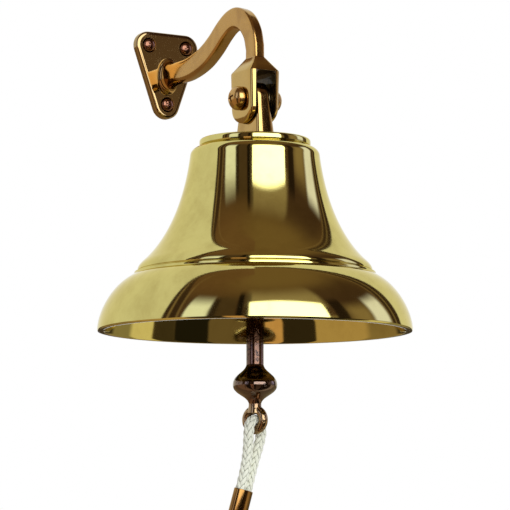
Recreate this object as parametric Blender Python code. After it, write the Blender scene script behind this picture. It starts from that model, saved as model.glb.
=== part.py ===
"""A ship's bell on a swan-neck wall bracket.

The frame's origin is the centre of the wall plate's back face. The wall is the plane Y = 0 and the
bell hangs in front of it, towards -Y. +X runs along the wall and +Z is up. Lengths are in metres.
"""

import math

import bmesh
import bpy
from mathutils import Matrix, Vector

MM = 0.001
GAP = 0.3 * MM

# Driving dimensions
MOUTH_RADIUS = 100 * MM
WALL_TO_AXIS = 124 * MM
MOUTH_BELOW_PLATE = 184 * MM
PIN_ABOVE_MOUTH = 149 * MM

# Places
BELL_AXIS = Vector((0, -WALL_TO_AXIS, 0))
MOUTH = BELL_AXIS - Vector((0, 0, MOUTH_BELOW_PLATE))
PIN = MOUTH + Vector((0, 0, PIN_ABOVE_MOUTH))

# Wall plate and its screws
PLATE_THICKNESS = 5 * MM
PLATE_CORNER_RADIUS = 9.6 * MM
SCREW_PLACES = {
    "wall_screw_left": (-14.2 * MM, 19.7 * MM),
    "wall_screw_right": (14.2 * MM, 19.7 * MM),
    "wall_screw_bottom": (0, -20.2 * MM),
}
SCREW_RADIUS = 2.1 * MM
SCREW_HEAD_RADIUS = 4.2 * MM
SCREW_HEAD_SINK = 2.3 * MM
SCREW_DOME = 1.9 * MM
COUNTERSINK_RADIUS = 4.9 * MM

# Fork and hinge
FORK_TOP = PIN.z + 17 * MM
EAR_BEND = PIN.z - 6 * MM
EAR_ROUND = 9.8 * MM
FORK_WIDTH = 22.6 * MM
FORK_DEPTH = 28.6 * MM
SLOT_WIDTH = 14.3 * MM
SLOT_CORNER = 3 * MM
EAR_FACE = 11.1 * MM
BOLT_RADIUS = 4 * MM
BOLT_HEAD_RADIUS = 7.7 * MM
BOLT_HEAD_HEIGHT = 7 * MM
NUT_DEPTH = 5.3 * MM
WASHER_RADIUS = 8 * MM

# Crown lug, a casting that stands on the crown and turns about the hinge bolt
LUG_FOOT = 124.5 * MM
LUG_WIDTH = 11 * MM
LUG_FLARE = 0.15
LUG_HUB_RADIUS = 11.3 * MM
LUG_FOOT_DEPTH = 30.4 * MM

# Crown fixing, heights above the mouth
CROWN_TOP = LUG_FOOT - GAP
CROWN_UNDERSIDE = 119 * MM
EYE_BOLT_TOP = 141.5 * MM
EYE_BOLT_RADIUS = 4 * MM
CROWN_WASHER_RADIUS = 11 * MM
CROWN_WASHER_THICKNESS = 2 * MM
CROWN_NUT_ACROSS_FLATS = 13 * MM
CROWN_NUT_HEIGHT = 6 * MM

# Clapper suspension: two eyes with a chain link between them, heights above the mouth
EYE_HEIGHT = 100 * MM
EYE_RING_RADIUS = 7 * MM
WIRE_RADIUS = 2.75 * MM
LINK_WIRE_RADIUS = 2.25 * MM
LINK_RING_RADIUS = 5.4 * MM
LINK_STRAIGHT = 10 * MM
LINK_PIVOT = EYE_HEIGHT - EYE_RING_RADIUS
CLAPPER_PIVOT = LINK_PIVOT - LINK_STRAIGHT - LINK_RING_RADIUS

# Clapper and lanyard, heights above the mouth
ROD_RADIUS = 5.55 * MM
BULB_RADIUS = 14.1 * MM
BULB_HEIGHT = -33.8 * MM
LOWER_EYE_HEIGHT = -55.7 * MM
LOWER_EYE_RING_RADIUS = 6.4 * MM
LOWER_EYE_TURN = math.radians(25)
CORD_RADIUS = 3.15 * MM
SLEEVE_LENGTH = 58 * MM
SLEEVE_SLOPE = 0.26

# The loop's two legs part along LEG_DIRECTION, and the lanyard leans towards LEAN_DIRECTION
LEG_DIRECTION = Vector((-math.cos(LOWER_EYE_TURN), -math.sin(LOWER_EYE_TURN), 0))
LEAN_DIRECTION = Vector((-math.cos(math.radians(30)), math.sin(math.radians(30)), 0))

FINISHES = {
    "bell_brass": ((0.72, 0.56, 0.20), 1.0, 0.12),
    "bracket_brass": ((0.62, 0.42, 0.16), 1.0, 0.22),
    "red_bronze": ((0.38, 0.17, 0.09), 1.0, 0.28),
    "dull_brass": ((0.50, 0.38, 0.20), 1.0, 0.40),
    "white_cord": ((0.85, 0.85, 0.82), 0.0, 0.85),
}


def clear_scene():
    for obj in list(bpy.data.objects):
        bpy.data.objects.remove(obj, do_unlink=True)


def empty(name, parent, place):
    pivot = bpy.data.objects.new(name, None)
    bpy.context.scene.collection.objects.link(pivot)
    attach(pivot, parent, place)
    return pivot


def attach(obj, parent, place):
    """Puts an object at a place in the world, under its parent. Parents aren't turned."""
    obj.parent = parent
    base = Vector()
    while parent:
        base += parent.location
        parent = parent.parent
    obj.location = Vector(place) - base


def add_mesh(name, mesh_builder, sharp_degrees=35):
    """Turns a bmesh into a smooth-shaded object of its own."""
    bmesh.ops.recalc_face_normals(mesh_builder, faces=mesh_builder.faces)
    mesh = bpy.data.meshes.new(name)
    mesh_builder.to_mesh(mesh)
    mesh_builder.free()
    mesh.shade_smooth()
    mesh.set_sharp_from_angle(angle=math.radians(sharp_degrees))
    obj = bpy.data.objects.new(name, mesh)
    bpy.context.scene.collection.objects.link(obj)
    return obj


def finish(obj, finish_name):
    """Gives an object a material of its own."""
    colour, metallic, roughness = FINISHES[finish_name]
    material = bpy.data.materials.new(obj.name + "_" + finish_name)
    material.use_nodes = True
    shader = material.node_tree.nodes["Principled BSDF"]
    shader.inputs["Base Color"].default_value = (*colour, 1)
    shader.inputs["Metallic"].default_value = metallic
    shader.inputs["Roughness"].default_value = roughness
    obj.data.materials.append(material)


def helper(obj):
    """Marks an object as a cutter or as a shape that another one absorbs."""
    obj.hide_render = True
    obj.display_type = "WIRE"
    return obj


def combine(obj, other, operation):
    modifier = obj.modifiers.new(operation.lower() + "_" + other.name, "BOOLEAN")
    modifier.operation = operation
    modifier.solver = "EXACT"
    modifier.object = helper(other)


def cubic(p0, p1, p2, p3, count, first=0):
    """Points of a cubic Bezier curve, from number first of count to its end."""
    points = []
    for i in range(first, count + 1):
        t = i / count
        u = 1 - t
        weights = (u * u * u, 3 * u * u * t, 3 * u * t * t, t * t * t)
        pairs = zip(weights, (p0, p1, p2, p3))
        points.append(sum((w * Vector(p) for w, p in pairs), Vector((0, 0))))
    return points


def arc(centre, radii, start, end, count):
    """Points on an arc of a circle or an ellipse, from one angle in degrees to another."""
    points = []
    for i in range(count + 1):
        angle = math.radians(start + (end - start) * i / count)
        points.append((centre[0] + radii[0] * math.cos(angle), centre[1] + radii[1] * math.sin(angle)))
    return points


def smooth_through(points, per_span):
    """A Catmull-Rom curve through the given points."""
    ends = [points[0] * 2 - points[1]] + points + [points[-1] * 2 - points[-2]]
    curve = []
    for i in range(len(points) - 1):
        a, b, c, d = ends[i : i + 4]
        for step in range(per_span):
            t = step / per_span
            square = (a * 2 - b * 5 + c * 4 - d) * t**2
            cube = (b * 3 - a - c * 3 + d) * t**3
            curve.append((b * 2 + (c - a) * t + square + cube) / 2)
    curve.append(points[-1])
    return curve


def turned(name, outline, segments, closed=False, axis="Z"):
    """Spins an outline of (radius, height) points about Z, then lays the height along the axis."""
    build = bmesh.new()
    corners = [build.verts.new((r, 0, h)) for r, h in outline]
    pairs = list(zip(corners, corners[1:]))
    if closed:
        pairs.append((corners[-1], corners[0]))
    edges = [build.edges.new(pair) for pair in pairs]
    bmesh.ops.spin(
        build,
        geom=corners + edges,
        cent=(0, 0, 0),
        axis=(0, 0, 1),
        angle=math.tau,
        steps=segments,
        use_merge=True,
    )
    bmesh.ops.remove_doubles(build, verts=build.verts, dist=1e-6)
    if axis == "X":
        bmesh.ops.transform(build, matrix=Matrix.Rotation(math.pi / 2, 4, "Y"), verts=build.verts)
    if axis == "Y":
        bmesh.ops.transform(build, matrix=Matrix.Rotation(math.pi / 2, 4, "X"), verts=build.verts)
    return add_mesh(name, build)


def lofted(name, rings, sharp_degrees=35):
    """Skins a row of rings that have the same number of points, and closes both ends."""
    build = bmesh.new()
    loops = [[build.verts.new(point) for point in ring] for ring in rings]
    for lower, upper in zip(loops, loops[1:]):
        for i in range(len(lower)):
            j = (i + 1) % len(lower)
            build.faces.new((lower[i], lower[j], upper[j], upper[i]))
    build.faces.new(loops[0])
    build.faces.new(loops[-1])
    return add_mesh(name, build, sharp_degrees)


def section(centre, across, along, width, depth, squareness, count):
    """A ring of points: an ellipse at squareness 2, and nearer a rectangle as it grows."""
    points = []
    for i in range(count):
        angle = math.tau * (i + 0.5) / count
        c, s = math.cos(angle), math.sin(angle)
        x = math.copysign(abs(c) ** (2 / squareness), c) * width / 2
        y = math.copysign(abs(s) ** (2 / squareness), s) * depth / 2
        points.append(centre + across * x + along * y)
    return points


def cylinder(name, radius, length, axis, segments=20):
    """A plain cylinder about its own centre."""
    half = length / 2
    return turned(name, [(0, half), (radius, half), (radius, -half), (0, -half)], segments, axis=axis)


def disc_with_hole(name, outer, inner, thickness, axis, segments=24):
    """A flat washer about its own centre."""
    half = thickness / 2
    outline = [(inner, half), (outer, half), (outer, -half), (inner, -half)]
    return turned(name, outline, segments, closed=True, axis=axis)


def wire_ring(name, ring_radius, radial, axial, axis, around=20, section_points=8):
    """A ring of wire, as thick as twice radial across its plane and twice axial along its axis."""
    outline = arc((ring_radius, 0), (radial, axial), 0, 360, section_points)[:-1]
    return turned(name, outline, around, closed=True, axis=axis)


def cross_recess(name, reach, width, depth):
    """The cross-shaped cutter of a screw head, centred on the origin and square to Z."""
    half = width / 2
    quarter = [(reach, -half), (reach, half), (half, half)]
    outline = []
    for turn in range(4):
        rotation = Matrix.Rotation(turn * math.pi / 2, 2)
        outline += [rotation @ Vector(point) for point in quarter]
    rings = [[Vector((p.x, p.y, side * depth)) for p in outline] for side in (-1, 1)]
    return lofted(name, rings)


def plate_outline(radius, y, steps=5):
    """The plate's rounded triangle: arcs about the three screws, at one depth from the wall."""
    left, right, bottom = (Vector((x, z)) for x, z in SCREW_PLACES.values())
    corners = [right, left, bottom]
    points = []
    for before, corner, after in zip([bottom, right, left], corners, [left, bottom, right]):
        start = math.atan2(before.x - corner.x, corner.y - before.y)
        end = math.atan2(corner.x - after.x, after.y - corner.y)
        if end < start:
            end += math.tau
        for i in range(steps + 1):
            angle = start + (end - start) * i / steps
            x = corner.x + radius * math.cos(angle)
            points.append(Vector((x, y, corner.y + radius * math.sin(angle))))
    return points


def bracket_plate():
    rounding = [(0, 0), (3.4, 0), (4.3, 0.4), (4.85, 1.1), (5.0, 2.0)]
    rings = [plate_outline(PLATE_CORNER_RADIUS - inset * MM, -out * MM) for out, inset in rounding]
    return lofted("wall_bracket", rings)


def arm_rings(count=20):
    """Sections of the swan neck: flared root, S-shaped arm, neck, sloping shoulders and ears."""
    x_axis = Vector((1, 0, 0))
    z_axis = Vector((0, 0, 1))
    y_axis = Vector((0, 1, 0))
    rings = []
    root = [(2.5, 15.8, 25.6), (6.6, 15.8, 25.6), (7.2, 14.9, 24.5)]
    root += [(8.4, 12.6, 20.4), (10.5, 11.0, 17.4), (14, 9.9, 15.4)]
    for out, width, depth in root:
        centre = Vector((0, -out * MM, -1 * MM))
        rings.append(section(centre, x_axis, z_axis, width * MM, depth * MM, 2, count))

    route = [(-19, -1), (-38, -1), (-57, 2.6), (-71.5, 8.8), (-84.5, 16.8), (-94.5, 21.1), (-104, 21.7)]
    route += [(-113.5, 17.6), (-120.8, 9), (-124, -1)]
    curve = smooth_through([Vector((0, y * MM, z * MM)) for y, z in route], 2)
    for i, point in enumerate(curve):
        ahead = curve[min(i + 1, len(curve) - 1)] - curve[max(i - 1, 0)]
        along = ahead.normalized().cross(x_axis)
        done = i / (len(curve) - 1)
        width = 9.4 - 1.4 * done
        depth = 14.8 - 1.6 * done
        squareness = 2.6 + 2.4 * min(1, 3 * done)
        rings.append(section(point, x_axis, along, width * MM, depth * MM, squareness, count))

    neck_foot = FORK_TOP + 10.5 * MM
    shoulders = [
        (neck_foot, 8.0 * MM, 13.2 * MM, 5),
        (neck_foot - 1.2 * MM, 9.4 * MM, 14.6 * MM, 6),
        (FORK_TOP + 0.8 * MM, FORK_WIDTH - 0.5 * MM, FORK_DEPTH - 0.6 * MM, 8),
        (FORK_TOP - 0.6 * MM, FORK_WIDTH, FORK_DEPTH, 8),
        (EAR_BEND, FORK_WIDTH - 1.2 * MM, FORK_DEPTH - 0.4 * MM, 8),
    ]
    for share, taper in ((0.35, 0.4), (0.62, 1.0), (0.84, 1.9), (0.97, 3.0)):
        depth = FORK_DEPTH * math.sqrt(1 - share * share)
        shoulders.append((EAR_BEND - share * EAR_ROUND, FORK_WIDTH - 1.2 * MM - taper * MM, depth, 8))
    for z, width, depth, squareness in shoulders:
        centre = Vector((0, -WALL_TO_AXIS, z))
        rings.append(section(centre, x_axis, -y_axis, width, depth, squareness, count))
    return rings


def slot_cutter():
    """The gap between the ears, open below, with rounded top corners."""
    half = SLOT_WIDTH / 2
    inner = half - SLOT_CORNER
    below = FORK_TOP - 60 * MM
    top = FORK_TOP - SLOT_CORNER
    profile = arc((inner, top), (SLOT_CORNER, SLOT_CORNER), 0, 90, 3)
    profile += arc((-inner, top), (SLOT_CORNER, SLOT_CORNER), 90, 180, 3)
    profile += [(-half, below), (half, below)]
    reach = FORK_DEPTH
    rings = [[Vector((x, -WALL_TO_AXIS + side * reach, z)) for x, z in profile] for side in (-1, 1)]
    return lofted("slot_cutter", rings)


def screw_hole_cutter(name, place):
    """A countersunk hole through the plate, drilled from its front."""
    hole = SCREW_RADIUS + 0.4 * MM
    wide = COUNTERSINK_RADIUS
    deep = SCREW_HEAD_SINK + 0.4 * MM
    over = 1 * MM
    outline = [(0, over), (wide, over), (wide, 0), (hole, -deep), (hole, -PLATE_THICKNESS - over)]
    outline.append((0, -PLATE_THICKNESS - over))
    cutter = turned(name, outline, 20, axis="Y")
    attach(cutter, None, (place[0], -PLATE_THICKNESS, place[1]))
    return cutter


def wall_bracket():
    """Wall plate, swan-neck arm and fork, one casting."""
    bracket = bracket_plate()
    arm = lofted("arm", arm_rings())
    combine(bracket, arm, "UNION")
    combine(bracket, slot_cutter(), "DIFFERENCE")
    bore = cylinder("fork_bore_cutter", BOLT_RADIUS + GAP, 2 * FORK_WIDTH, "X")
    attach(bore, None, PIN)
    combine(bracket, bore, "DIFFERENCE")
    for name, place in SCREW_PLACES.items():
        combine(bracket, screw_hole_cutter(name + "_hole", place), "DIFFERENCE")
    finish(bracket, "bracket_brass")


def wall_screw(name, place):
    """A raised countersunk screw with a cross recess. Its shank ends just inside the plate."""
    outline = [(0, SCREW_DOME)]
    outline += arc((0, 0), (SCREW_HEAD_RADIUS, SCREW_DOME), 72, 0, 4)
    outline += [(SCREW_RADIUS, -SCREW_HEAD_SINK), (SCREW_RADIUS, -PLATE_THICKNESS + 0.5 * MM)]
    outline.append((0, -PLATE_THICKNESS + 0.5 * MM))
    screw = turned(name, outline, 20, axis="Y")
    attach(screw, None, (place[0], -PLATE_THICKNESS, place[1]))
    recess = cross_recess(name + "_recess", 2.1 * MM, 0.9 * MM, 1.3 * MM)
    recess.rotation_euler = (math.pi / 2, math.radians(40), 0)
    attach(recess, None, (place[0], -PLATE_THICKNESS - SCREW_DOME, place[1]))
    combine(screw, recess, "DIFFERENCE")
    finish(screw, "red_bronze")


def domed_outline(radius, height, rim):
    """The upper side of a round head: a short upright rim under a half ellipse."""
    return [(0, height)] + arc((0, rim), (radius, height - rim), 75, 0, 5) + [(radius, 0)]


def hinge_bolt():
    """The bolt that the bell swings on: domed head towards -X, shank through both ears."""
    length = 2 * EAR_FACE + NUT_DEPTH - 3 * GAP
    outline = domed_outline(BOLT_HEAD_RADIUS, BOLT_HEAD_HEIGHT, 1.2 * MM)
    outline += [(BOLT_RADIUS, 0), (BOLT_RADIUS, -length), (0, -length)]
    bolt = turned("hinge_bolt", outline, 24, axis="X")
    bolt.rotation_euler = (0, math.pi, 0)
    attach(bolt, None, PIN - Vector((EAR_FACE + GAP, 0, 0)))
    recess = cross_recess("hinge_bolt_recess", 3.6 * MM, 1.5 * MM, 2.6 * MM)
    recess.rotation_euler = (math.radians(20), -math.pi / 2, 0)
    attach(recess, None, PIN - Vector((EAR_FACE + BOLT_HEAD_HEIGHT, 0, 0)))
    combine(bolt, recess, "DIFFERENCE")
    finish(bolt, "bracket_brass")


def hinge_nut():
    """A domed cap nut, screwed over the bolt's end. Its face matches the bolt's head."""
    bore = BOLT_RADIUS + GAP
    outline = domed_outline(BOLT_HEAD_RADIUS, BOLT_HEAD_HEIGHT, 1.2 * MM)
    outline += [(bore, 0), (bore, NUT_DEPTH), (0, NUT_DEPTH)]
    nut = turned("hinge_nut", outline, 24, axis="X")
    attach(nut, None, PIN + Vector((EAR_FACE + GAP, 0, 0)))
    finish(nut, "bracket_brass")


def hinge_washers():
    """Two flat washers that keep the lug in the middle of the fork."""
    thickness = 1 * MM
    offset = LUG_WIDTH / 2 + GAP + thickness / 2
    for name, side in (("hinge_washer_left", -1), ("hinge_washer_right", 1)):
        washer = disc_with_hole(name, WASHER_RADIUS, BOLT_RADIUS + GAP, thickness, "X")
        attach(washer, None, PIN + Vector((side * offset, 0, 0)))
        finish(washer, "dull_brass")


def bell_outline():
    """(radius, height above the mouth) of the bell's wall, outer side down and inner side up."""
    shoulder = [(35.6, 121.6), (35.6, 119.1), (34.9, 118.6), (37.4, 117.8), (40.6, 115.2)]
    crown = [(4.3, CROWN_TOP / MM), (16, CROWN_TOP / MM), (29.5, 123.7), (34, 123.2)]
    waist = cubic((42.1, 109.2), (46.86, 72.43), (61.8, 53.2), (70.6, 45.2), 11)
    bead = [(72.2, 43.8), (73.5, 42), (74.4, 40.2), (74.6, 38.8)]
    bead += [(74.3, 38.2), (75.6, 37.9), (76.8, 37.3), (76.9, 36.4)]
    mouth = MOUTH_RADIUS / MM
    lip = cubic((78.6, 34.9), (92.6, 28.2), (mouth, 9.6), (mouth, 0), 8)
    inner_lip = [(95.4, 0)] + cubic((92.7, 13.5), (90.8, 22.4), (86, 26), (75.4, 31), 5)
    inner_waist = cubic((70.5, 35.6), (57.5, 52), (43.6, 69), (38.1, 107), 7)
    inner_crown = cubic((37.6, 111), (36.4, 116.5), (31, 118.6), (22, 119), 3)
    outline = crown + shoulder + waist + bead + lip + inner_lip + inner_waist + inner_crown
    outline.append((4.3, CROWN_UNDERSIDE / MM))
    return [(r * MM, h * MM) for r, h in outline]


def bell_shell(pivot):
    bell = turned("bell_shell", bell_outline(), 40, closed=True)
    attach(bell, pivot, MOUTH)
    finish(bell, "bell_brass")


def lug_rings(count=20):
    """Level sections of the lug, from its foot up to its rounded top, about the pin's centre."""
    x_axis = Vector((1, 0, 0))
    y_axis = Vector((0, 1, 0))
    foot = PIN_ABOVE_MOUTH - LUG_FOOT
    rings = []
    for share in (1, 0.75, 0.5, 0.25, 0):
        below = foot * share
        width = LUG_WIDTH + LUG_FLARE * below
        depth = 2 * LUG_HUB_RADIUS + (LUG_FOOT_DEPTH - 2 * LUG_HUB_RADIUS) * share
        rings.append(section(Vector((0, 0, -below)), x_axis, y_axis, width, depth, 7, count))
    for degrees in (22, 42, 60, 75, 85):
        rise = LUG_HUB_RADIUS * math.sin(math.radians(degrees))
        depth = 2 * LUG_HUB_RADIUS * math.cos(math.radians(degrees))
        rings.append(section(Vector((0, 0, rise)), x_axis, y_axis, LUG_WIDTH, depth, 7, count))
    return rings


def crown_lug(pivot):
    """The lug that joins the bell to the hinge, bored for the bolt and tapped for the eye bolt."""
    lug = lofted("crown_lug", lug_rings())
    attach(lug, pivot, PIN)
    bore = cylinder("lug_bore_cutter", BOLT_RADIUS + GAP, 3 * LUG_WIDTH, "X")
    attach(bore, pivot, PIN)
    combine(lug, bore, "DIFFERENCE")
    for name, side in (("left_spot_face_cutter", -1), ("right_spot_face_cutter", 1)):
        spot = cylinder(name, WASHER_RADIUS + 2 * GAP, LUG_WIDTH, "X", 24)
        attach(spot, pivot, PIN + Vector((side * LUG_WIDTH, 0, 0)))
        combine(lug, spot, "DIFFERENCE")
    hole_top = EYE_BOLT_TOP + 2 * GAP
    depth = 2 * (hole_top - LUG_FOOT)
    tapped = cylinder("lug_tapped_hole_cutter", EYE_BOLT_RADIUS + GAP, depth, "Z")
    attach(tapped, pivot, MOUTH + Vector((0, 0, LUG_FOOT)))
    combine(lug, tapped, "DIFFERENCE")
    finish(lug, "bracket_brass")


def clapper_eye_bolt(pivot):
    """The eye bolt that goes up through the crown into the lug and carries the clapper."""
    low = EYE_HEIGHT + EYE_RING_RADIUS - WIRE_RADIUS / 2
    outline = [(0, EYE_BOLT_TOP), (EYE_BOLT_RADIUS, EYE_BOLT_TOP), (EYE_BOLT_RADIUS, low + 2 * MM)]
    outline += [(WIRE_RADIUS, low), (0, low)]
    bolt = turned("clapper_eye_bolt", outline, 20)
    attach(bolt, pivot, MOUTH)
    ring = wire_ring("eye_bolt_ring", EYE_RING_RADIUS, WIRE_RADIUS, WIRE_RADIUS, "Y")
    attach(ring, pivot, MOUTH + Vector((0, 0, EYE_HEIGHT)))
    combine(bolt, ring, "UNION")
    finish(bolt, "dull_brass")


def crown_fixings(pivot):
    """The washer and the hexagon nut under the crown."""
    bore = EYE_BOLT_RADIUS + GAP
    washer_centre = CROWN_UNDERSIDE - GAP - CROWN_WASHER_THICKNESS / 2
    washer = disc_with_hole("crown_washer", CROWN_WASHER_RADIUS, bore, CROWN_WASHER_THICKNESS, "Z")
    attach(washer, pivot, MOUTH + Vector((0, 0, washer_centre)))
    finish(washer, "dull_brass")

    nut_centre = washer_centre - CROWN_WASHER_THICKNESS / 2 - GAP - CROWN_NUT_HEIGHT / 2
    corner_radius = CROWN_NUT_ACROSS_FLATS / math.sqrt(3)
    half = CROWN_NUT_HEIGHT / 2
    nut = turned("crown_nut", [(0, half), (corner_radius, half), (corner_radius, -half), (0, -half)], 6)
    attach(nut, pivot, MOUTH + Vector((0, 0, nut_centre)))
    thread = cylinder("crown_nut_bore_cutter", bore, 3 * CROWN_NUT_HEIGHT, "Z")
    attach(thread, pivot, MOUTH + Vector((0, 0, nut_centre)))
    combine(nut, thread, "DIFFERENCE")
    finish(nut, "dull_brass")


def clapper_link(pivot):
    """A chain link in the YZ plane: it hooks the eye bolt's ring and the clapper's upper eye."""
    radii = (LINK_RING_RADIUS, LINK_RING_RADIUS)
    path = arc((0, LINK_PIVOT), radii, 0, 180, 8)
    path += arc((0, LINK_PIVOT - LINK_STRAIGHT), radii, 180, 360, 8)
    rings = []
    x_axis = Vector((1, 0, 0))
    for i, (y, z) in enumerate(path):
        before = path[i - 1]
        after = path[(i + 1) % len(path)]
        ahead = Vector((0, after[0] - before[0], after[1] - before[1])).normalized()
        centre = Vector((0, y, z - LINK_PIVOT))
        size = 2 * LINK_WIRE_RADIUS
        rings.append(section(centre, x_axis, ahead.cross(x_axis), size, size, 2, 8))
    build = bmesh.new()
    loops = [[build.verts.new(point) for point in ring] for ring in rings]
    for i, lower in enumerate(loops):
        upper = loops[(i + 1) % len(loops)]
        for k in range(len(lower)):
            m = (k + 1) % len(lower)
            build.faces.new((lower[k], lower[m], upper[m], upper[k]))
    link = add_mesh("clapper_link", build)
    attach(link, pivot, MOUTH + Vector((0, 0, LINK_PIVOT)))
    finish(link, "dull_brass")


def clapper_outline():
    """(radius, height above the mouth) of the clapper's turned body, top to bottom."""
    rod = ROD_RADIUS / MM
    bulb = BULB_RADIUS / MM
    middle = BULB_HEIGHT / MM
    top = (CLAPPER_PIVOT - LINK_RING_RADIUS) / MM
    outline = [(0, top), (3.2, top), (rod, top - 6), (rod, middle + 14)]
    outline += cubic((rod, middle + 13), (rod + 0.6, middle + 8), (bulb, middle + 7), (bulb, middle), 6)
    outline += cubic((bulb, middle), (bulb, middle - 6), (4.2, middle - 7), (4.0, middle - 12), 6, first=1)
    outline += [(4.4, middle - 15), (5.0, middle - 18), (0, middle - 18)]
    return [(r * MM, h * MM) for r, h in outline]


def clapper(pivot):
    """Rod and bulb, with an eye at the top for the link and one below for the lanyard."""
    body = turned("clapper", clapper_outline(), 16)
    attach(body, pivot, MOUTH)
    upper = wire_ring("clapper_upper_eye", LINK_RING_RADIUS, WIRE_RADIUS, WIRE_RADIUS, "Y")
    attach(upper, pivot, MOUTH + Vector((0, 0, CLAPPER_PIVOT)))
    combine(body, upper, "UNION")
    lower = wire_ring("clapper_lower_eye", LOWER_EYE_RING_RADIUS, 2.8 * MM, 3.2 * MM, "X")
    lower.rotation_euler = (0, 0, LOWER_EYE_TURN)
    attach(lower, pivot, MOUTH + Vector((0, 0, LOWER_EYE_HEIGHT)))
    combine(body, lower, "UNION")
    finish(body, "red_bronze")


def lanyard_route():
    """The cord's centre line, from one cut end up through the eye and down to the other."""
    over_ring = LOWER_EYE_RING_RADIUS / MM
    reach = 3.2 + CORD_RADIUS / MM + 0.3
    leg = [(reach - 0.1, -over_ring - 4.5, 0.3), (5.1, -19, 1.5), (3.8, -28, 3.4), (3.45, -38, 5.7)]
    leg += [(3.4, -50, 8.66), (3.4, -57, 10.48), (3.4, -64, 12.3)]
    loop = [(u, z - over_ring, 0) for u, z in arc((0, 0), (reach, over_ring), 0, 180, 8)]
    left = [(-u, z, lean) for u, z, lean in leg]
    places = list(reversed(leg)) + loop + left
    return [(LEG_DIRECTION * u + LEAN_DIRECTION * lean + Vector((0, 0, z))) * MM for u, z, lean in places]


def lanyard_cord(pivot):
    """The braided cord, doubled through the clapper's lower eye."""
    curve = bpy.data.curves.new("lanyard_cord", "CURVE")
    curve.dimensions = "3D"
    curve.bevel_depth = CORD_RADIUS
    curve.bevel_resolution = 2
    curve.use_fill_caps = True
    points = smooth_through(lanyard_route(), 2)
    spline = curve.splines.new("POLY")
    spline.points.add(len(points) - 1)
    for target, point in zip(spline.points, points):
        target.co = (*point, 1)
    cord = bpy.data.objects.new("lanyard_cord", curve)
    bpy.context.scene.collection.objects.link(cord)
    attach(cord, pivot, MOUTH + Vector((0, 0, LOWER_EYE_HEIGHT)))
    finish(cord, "white_cord")


def lanyard_sleeve(pivot):
    """An oval metal sleeve, closed below, that holds the cord's two ends."""
    down = (LEAN_DIRECTION * SLEEVE_SLOPE - Vector((0, 0, 1))).normalized()
    across = (LEG_DIRECTION - down * LEG_DIRECTION.dot(down)).normalized()
    along = down.cross(across)
    mouth = (LEAN_DIRECTION * 7.1 + Vector((0, 0, -44))) * MM
    end = SLEEVE_LENGTH / MM
    outer = [(0.35, end), (0.72, end - 0.6), (0.92, end - 2.2), (1, end - 5), (1, 0.5), (0.97, 0)]
    inner = [(1, 0), (1, end - 8), (0.6, end - 4)]
    rings = []
    for steps, width, depth in ((outer, 15.2 * MM, 10.4 * MM), (inner, 13.8 * MM, 9 * MM)):
        for share, reach in steps:
            centre = mouth + down * reach * MM
            rings.append(section(centre, across, along, share * width, share * depth, 2, 20))
    sleeve = lofted("lanyard_sleeve", rings)
    attach(sleeve, pivot, MOUTH + Vector((0, 0, LOWER_EYE_HEIGHT)))
    finish(sleeve, "bracket_brass")


def build():
    clear_scene()
    wall_bracket()
    for name, place in SCREW_PLACES.items():
        wall_screw(name, place)
    hinge_bolt()
    hinge_nut()
    hinge_washers()

    bell_pivot = empty("bell_pivot", None, PIN)
    bell_shell(bell_pivot)
    crown_lug(bell_pivot)
    clapper_eye_bolt(bell_pivot)
    crown_fixings(bell_pivot)

    link_pivot = empty("link_pivot", bell_pivot, MOUTH + Vector((0, 0, LINK_PIVOT)))
    clapper_link(link_pivot)
    clapper_pivot = empty("clapper_pivot", link_pivot, MOUTH + Vector((0, 0, CLAPPER_PIVOT)))
    clapper(clapper_pivot)
    lanyard_pivot = empty("lanyard_pivot", clapper_pivot, MOUTH + Vector((0, 0, LOWER_EYE_HEIGHT)))
    lanyard_cord(lanyard_pivot)
    lanyard_sleeve(lanyard_pivot)


build()
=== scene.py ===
"""Looks of a ship's bell on a swan-neck wall bracket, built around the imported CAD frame.

The frame's origin is the centre of the wall plate's back face. The wall is the plane Y = 0, the
bell hangs towards -Y, +X runs along the wall and +Z is up. Lengths are in metres.
"""

import math

import bmesh
import bpy
import numpy as np
from mathutils import Matrix, Vector


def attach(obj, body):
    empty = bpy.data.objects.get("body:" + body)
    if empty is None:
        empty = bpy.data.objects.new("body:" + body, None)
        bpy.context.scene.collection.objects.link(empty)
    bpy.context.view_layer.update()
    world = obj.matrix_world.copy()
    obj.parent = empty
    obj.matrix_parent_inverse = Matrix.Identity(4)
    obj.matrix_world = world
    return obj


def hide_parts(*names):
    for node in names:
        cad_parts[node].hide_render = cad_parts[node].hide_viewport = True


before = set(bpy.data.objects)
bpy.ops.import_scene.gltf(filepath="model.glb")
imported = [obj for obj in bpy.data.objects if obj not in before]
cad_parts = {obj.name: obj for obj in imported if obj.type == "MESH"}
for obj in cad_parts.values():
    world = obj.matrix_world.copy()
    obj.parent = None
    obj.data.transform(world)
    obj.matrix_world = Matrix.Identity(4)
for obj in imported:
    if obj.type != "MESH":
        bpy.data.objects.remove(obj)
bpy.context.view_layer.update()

MM = 0.001
GAP = 0.3 * MM
UP = Vector((0, 0, 1))

X_AXIS = Vector((1, 0, 0))
Y_AXIS = Vector((0, 1, 0))
SHARP_ANGLE = math.radians(40)

# Driving dimensions
MOUTH_RADIUS = 100 * MM
WALL_TO_AXIS = 124 * MM
MOUTH_BELOW_PLATE = 184 * MM
PIN_ABOVE_MOUTH = 149 * MM

# Places: the middle of the mouth, and the middle of the hinge
MOUTH = Vector((0, -WALL_TO_AXIS, -MOUTH_BELOW_PLATE))
PIN = MOUTH + UP * PIN_ABOVE_MOUTH

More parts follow.
